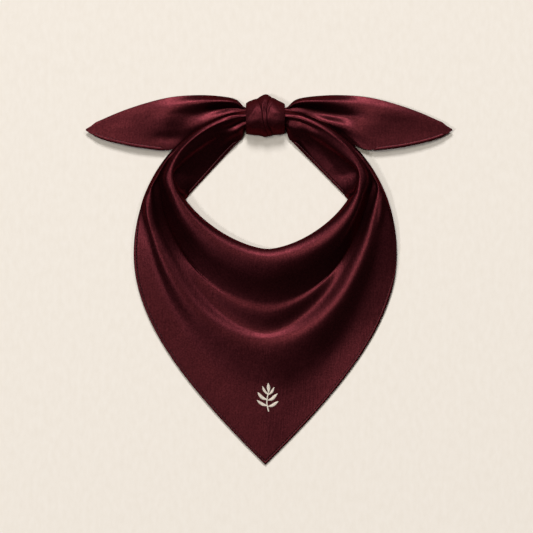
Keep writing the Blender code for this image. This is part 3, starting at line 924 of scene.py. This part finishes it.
def satin_material(name, tones, rough, stretch=0.0):
    """Burgundy satin: long floats, a fine slub, soft clouds and a soft sheen."""
    material = bpy.data.materials.new(name)
    material.use_nodes = True
    tree = material.node_tree
    shader = tree.nodes["Principled BSDF"]
    shader.inputs["Metallic"].default_value = SATIN_METAL
    if stretch:
        shader.inputs["Anisotropic"].default_value = stretch
        grain = tree.nodes.new("ShaderNodeTangent")
        grain.direction_type = "UV_MAP"
        grain.uv_map = "cloth"
        tree.links.new(grain.outputs["Tangent"], shader.inputs["Tangent"])
    shader.inputs["Specular Tint"].default_value = SATIN_EDGE
    place = tree.nodes.new("ShaderNodeTexCoord").outputs["Object"]
    clouds = link_noise(tree, place, *NOISES["clouds"])
    mottle = link_noise(tree, place, *NOISES["mottle"])
    slub = link_noise(tree, place, *NOISES["slub"])
    floats = tree.nodes.new("ShaderNodeTexWave")
    floats.wave_type = "BANDS"
    floats.bands_direction = "DIAGONAL"
    for setting, value in FLOATS.items():
        floats.inputs[setting].default_value = value
    tree.links.new(place, floats.inputs["Vector"])
    tree.links.new(link_ramp(tree, mottle, tones), shader.inputs["Base Color"])
    uneven = link_range(tree, clouds, rough - ROUGH_SPREAD, rough + ROUGH_SPREAD)
    tree.links.new(uneven, shader.inputs["Roughness"])
    soft = link_bump(tree, clouds, *BUMPS["clouds"])
    threads = link_bump(tree, slub, *BUMPS["slub"], soft)
    fine = link_bump(tree, floats.outputs["Fac"], *BUMPS["floats"], threads)
    tree.links.new(fine, shader.inputs["Normal"])
    return material


def thread_material(name, tones, rough):
    """Twisted embroidery thread."""
    material = bpy.data.materials.new(name)
    material.use_nodes = True
    tree = material.node_tree
    shader = tree.nodes["Principled BSDF"]
    shader.inputs["Roughness"].default_value = rough
    shader.inputs["Specular IOR Level"].default_value = THREAD_GLOSS
    place = tree.nodes.new("ShaderNodeTexCoord").outputs["Object"]
    fibre = link_noise(tree, place, *NOISES["fibre"])
    tree.links.new(link_ramp(tree, fibre, tones), shader.inputs["Base Color"])
    tree.links.new(link_bump(tree, fibre, *BUMPS["fibre"]), shader.inputs["Normal"])
    return material


def paper_material(name):
    """The pale ground: a faint grain like that of uncoated paper."""
    material = bpy.data.materials.new(name)
    material.use_nodes = True
    tree = material.node_tree
    shader = tree.nodes["Principled BSDF"]
    shader.inputs["Roughness"].default_value = PAPER_ROUGH
    shader.inputs["Specular IOR Level"].default_value = PAPER_GLOSS
    place = tree.nodes.new("ShaderNodeTexCoord").outputs["Object"]
    grain = link_noise(tree, place, *NOISES["grain"])
    tree.links.new(link_ramp(tree, grain, PAPER_TONES), shader.inputs["Base Color"])
    tree.links.new(link_bump(tree, grain, *BUMPS["grain"]), shader.inputs["Normal"])
    return material


def build_looks():
    """The materials of the cloth, its hems and its threads."""
    return {
        "satin": satin_material("satin", SATIN_TONES, SATIN_ROUGH, SATIN_STRETCH),
        # The knot's satin carries the lighter, painted-light copy of the satin's colours
        "knot": satin_material("satin_knot", KNOT_LIT_TONES, KNOT_ROUGH),
        "hem": satin_material("satin_hem", HEM_TONES, HEM_ROUGH),
        "thread": thread_material("thread", THREAD_TONES, THREAD_ROUGH),
        "cream": thread_material("cream_thread", CREAM_TONES, CREAM_ROUGH),
    }


def sewn_edge(place, grid, width, looks, *hem_nodes):
    """The hem and the stitches along the first column of a grid."""
    return [hem_piece(f"hem_{place}_bead", grid, width, looks["hem"], hem_nodes),
            stitch_row(f"stitches_{place}", grid, width, looks["thread"])]


def front_edge(looks):
    """The hem and the stitches round the point, up both sides."""
    rays = np.concatenate([np.linspace(-HEM_LAST_RAY["left"], 0.0, HEM_SECTIONS),
                           np.linspace(0.0, HEM_LAST_RAY["right"], HEM_SECTIONS)[1:]])
    rays = rays[hem_width(rays) > HEM_LEAST]
    grid = press(fold_grid(rays), CREASES["drape"])[:, ::-1]
    return sewn_edge("front", grid, hem_width(rays), looks, "hem_front_left", "hem_front_right")


def build_drape(looks):
    """The front and both bands, one cloth with its hems and embroidery."""
    drape, rays = drape_grid()
    drape = press(soften(drape, *DRAPE_SOFT), CREASES["drape"])
    neck_widths = neck_hem_width(rays)
    pulled = pull_in(drape[:, ::-1], hem_width(rays) * HEM_CUT)[:, ::-1]
    pulled = pull_in(pulled, neck_widths * HEM_CUT)
    body = cloth_wall("satin_drape", pulled, looks["satin"])
    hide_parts("front_drape", "neck_left", "neck_right")
    sewn = front_edge(looks)
    for side_name, side in SIDES.items():
        rows = (side * rays > 0) & (neck_widths > HEM_LEAST)
        sewn += sewn_edge(f"neck_{side_name}", drape[rows], neck_widths[rows], looks,
                          f"hem_neck_{side_name}")
    sewn.append(sprig(drape, looks["cream"]))


def build_tail(side_name, side, looks):
    """One tail with the hem and the stitches on its lower edge."""
    grid = soften(press(tail_grid(side), CREASES[f"tail_{side_name}"]), *TAIL_SOFT)
    width = tail_hem_width(grid, side)
    tail = cloth_wall(f"satin_tail_{side_name}", pull_in(grid, width * HEM_CUT), looks["satin"])
    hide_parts(f"tail_{side_name}")
    shown = width > TAIL_HEM_LEAST
    sewn = sewn_edge(f"tail_{side_name}", grid[shown], width[shown], looks,
                     f"hem_tail_{side_name}")


def build_knot_cloth(material):
    """The cloth over the knot: two lobes and the slanting strip between."""
    turns = np.linspace(0.0, math.pi, KNOT_TURNS)
    place = turns / math.pi * (len(STRIP_LEFT) - 1)
    slots = range(len(STRIP_LEFT))
    strip_left = spline(slots, STRIP_LEFT, place)
    strip_right = spline(slots, STRIP_RIGHT, place)
    left_end = np.full(len(turns), KNOT_SECTIONS[0][0])
    right_end = np.full(len(turns), KNOT_SECTIONS[-1][0])
    stretches = {
        "knot_wrap_left": (left_end, strip_left),
        "knot_cross": (strip_left, strip_right),
        "knot_wrap_right": (strip_right, right_end),
    }
    for name, (left, right) in stretches.items():
        outer = []
        inner = []
        for share in np.linspace(0.0, 1.0, KNOT_STEPS):
            x = left + share * (right - left)
            dip = KNOT_TUCK * abs(2 * share - 1) ** KNOT_TUCK_POWER
            outer.append(knot_arch(x, turns, dip))
            inner.append(knot_arch(x, turns, KNOT_TUCK + KNOT_WALL))
        outer = press(np.stack(outer), CREASES["knot"])
        piece = two_sided(f"satin_{name}", outer, np.stack(inner), material)
        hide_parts(name)


def build_knot_core(material):
    """The turns inside the knot, gathered, with rounded ends."""
    turns = np.linspace(0.0, math.pi, KNOT_TURNS)
    folds, depth = CORE_FOLDS
    gather = (1 + depth * np.cos(turns * folds)) / (1 + depth)
    rings = []
    for share in np.linspace(0.0, 1.0, CORE_RINGS):
        x = CORE_SPAN[0] + share * (CORE_SPAN[1] - CORE_SPAN[0])
        ring = knot_arch(np.full(len(turns), x), turns, KNOT_TUCK + KNOT_WALL + CORE_GAP)
        middle = np.array([x, (ring[0, 1] + ring[-1, 1]) / 2, ring[:, 2].max() / 2])
        round_end = math.sqrt(max(1 - abs(2 * share - 1) ** CORE_POWER, 0.0))
        size = CORE_SIZE[0] + CORE_SIZE[1] * round_end
        rings.append(middle + (ring - middle) * (size * gather)[:, None])
    core = ringed("satin_knot_core", np.stack(rings), material)
    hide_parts("knot_core")


def build_stage():
    """The pale surface that the scarf lies on."""
    bpy.ops.mesh.primitive_plane_add(size=FLOOR_SIDE, location=(0.0, 0.0, 0.0))
    floor = bpy.context.object
    floor.name = "floor"
    floor.data.materials.append(paper_material("paper"))


def add_light(name, place, diameter, power, color):
    """A soft round light that looks at the middle of the scarf."""
    light = bpy.data.lights.new(name, "AREA")
    light.shape = "DISK"
    light.size = diameter
    light.energy = power
    light.color = color
    lamp = bpy.data.objects.new(name, light)
    lamp.location = place
    lamp.rotation_euler = (-Vector(place)).to_track_quat("-Z", "Y").to_euler()
    bpy.context.scene.collection.objects.link(lamp)


def build_lights():
    """A key beyond the knot, weaker lights from both sides and high up, a faint room."""
    for name, row in LIGHTS.items():
        add_light(name, *row)
    world = bpy.data.worlds.new("room")
    world.use_nodes = True
    back = world.node_tree.nodes["Background"]
    back.inputs["Color"].default_value = ROOM_COLOR
    back.inputs["Strength"].default_value = ROOM_LIGHT
    bpy.context.scene.world = world
    bpy.context.scene.view_settings.view_transform = "Standard"


def build_camera():
    """Straight above, with the photo's frame."""
    camera = bpy.data.cameras.new("camera")
    camera.sensor_width = SENSOR
    camera.lens = SENSOR * CAMERA_HIGH / FRAME_WIDE
    camera.clip_end = CAMERA_REACH
    holder = bpy.data.objects.new("camera", camera)
    holder.location = (CAMERA_X * MM, CAMERA_Y * MM, CAMERA_HIGH * MM)
    bpy.context.scene.collection.objects.link(holder)
    bpy.context.scene.camera = holder


looks = build_looks()
build_drape(looks)
for side_name, side in SIDES.items():
    build_tail(side_name, side, looks)
build_knot_cloth(looks["knot"])
build_knot_core(looks["knot"])
build_stage()
build_lights()
build_camera()
